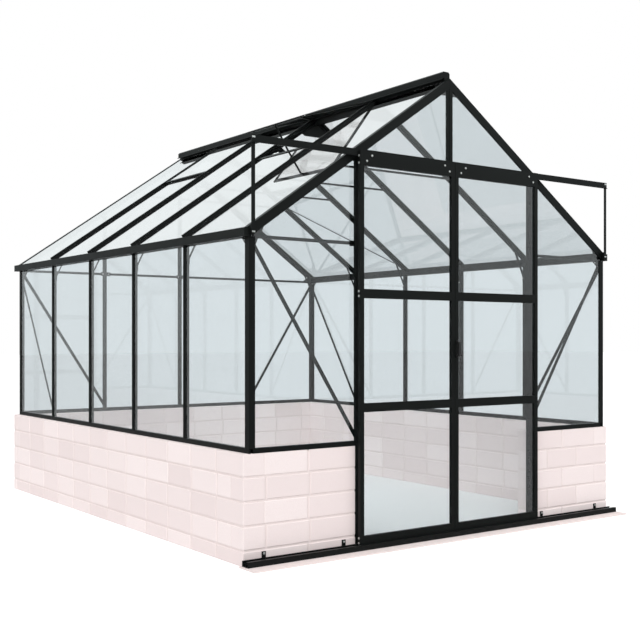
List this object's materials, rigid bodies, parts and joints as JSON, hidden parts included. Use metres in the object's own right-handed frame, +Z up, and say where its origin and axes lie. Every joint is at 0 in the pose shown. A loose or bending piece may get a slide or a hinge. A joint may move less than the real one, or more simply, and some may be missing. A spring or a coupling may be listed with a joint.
{
  "type": "greenhouse",
  "caption": "Black aluminium greenhouse with toughened glass, a low masonry wall, pitched roof with vents and a pair of outward-hung sliding door leaves.",
  "frame": {"origin": "middle of the footprint, on the ground", "axes": "+X across the door gable to the right, +Y from the door gable to the rear gable along the ridge, +Z up"},
  "size_m": [2.62, 3.19, 2.476],
  "materials": {
    "black_aluminium": "satin black powder coat",
    "glass": "clear toughened",
    "masonry": "pale rose brickwork, matt",
    "black_plastic": "moulded black"
  },
  "bodies": {
    "house": {"apex_gussets": "black_aluminium", "base_rails_gable": "black_aluminium", "base_rails_side": "black_aluminium", "collar_ties": "black_aluminium", "corner_plates": "black_aluminium", "corner_posts": "black_aluminium", "door_header": "black_aluminium", "door_jambs": "black_aluminium", "door_sill": "masonry", "door_track_bottom": "black_aluminium", "door_track_top": "black_aluminium", "gable_braces": "black_aluminium", "gable_centre_bar": "black_aluminium", "gable_glass_front": "glass", "gable_glass_rear": "glass", "gable_rafters": "black_aluminium", "gable_ties": "black_aluminium", "gable_walls": "masonry", "gutters": "black_aluminium", "knee_braces": "black_aluminium", "rafters": "black_aluminium", "rear_gable_bars": "black_aluminium", "ridge_beam": "black_aluminium", "roof_braces": "black_aluminium", "roof_glass": "glass", "side_bars": "black_aluminium", "side_braces": "black_aluminium", "side_glass": "glass", "side_walls": "masonry", "track_brackets": "black_aluminium", "track_end_supports": "black_aluminium", "vent_end_rails": "black_aluminium", "vent_glass": "glass", "vent_side_rails": "black_aluminium", "vent_sills": "black_aluminium", "vent_stays": "black_aluminium"},
    "door_left": {"door_left_glass": "glass", "door_left_glides": "black_plastic", "door_left_hanger": "black_aluminium", "door_left_rails": "black_aluminium", "door_left_rollers": "black_plastic", "door_left_stiles": "black_aluminium"},
    "door_right": {"door_right_glass": "glass", "door_right_glides": "black_plastic", "door_right_handle": "black_plastic", "door_right_hanger": "black_aluminium", "door_right_rails": "black_aluminium", "door_right_rollers": "black_plastic", "door_right_stiles": "black_aluminium"}
  },
  "joints": [
    {"name": "door_left_slide", "type": "slide", "parent": "house", "child": "door_left", "axis": [-1, 0, 0], "range_m": [0, 0.59]},
    {"name": "door_right_slide", "type": "slide", "parent": "house", "child": "door_right", "axis": [1, 0, 0], "range_m": [0, 0.59]}
  ]
}
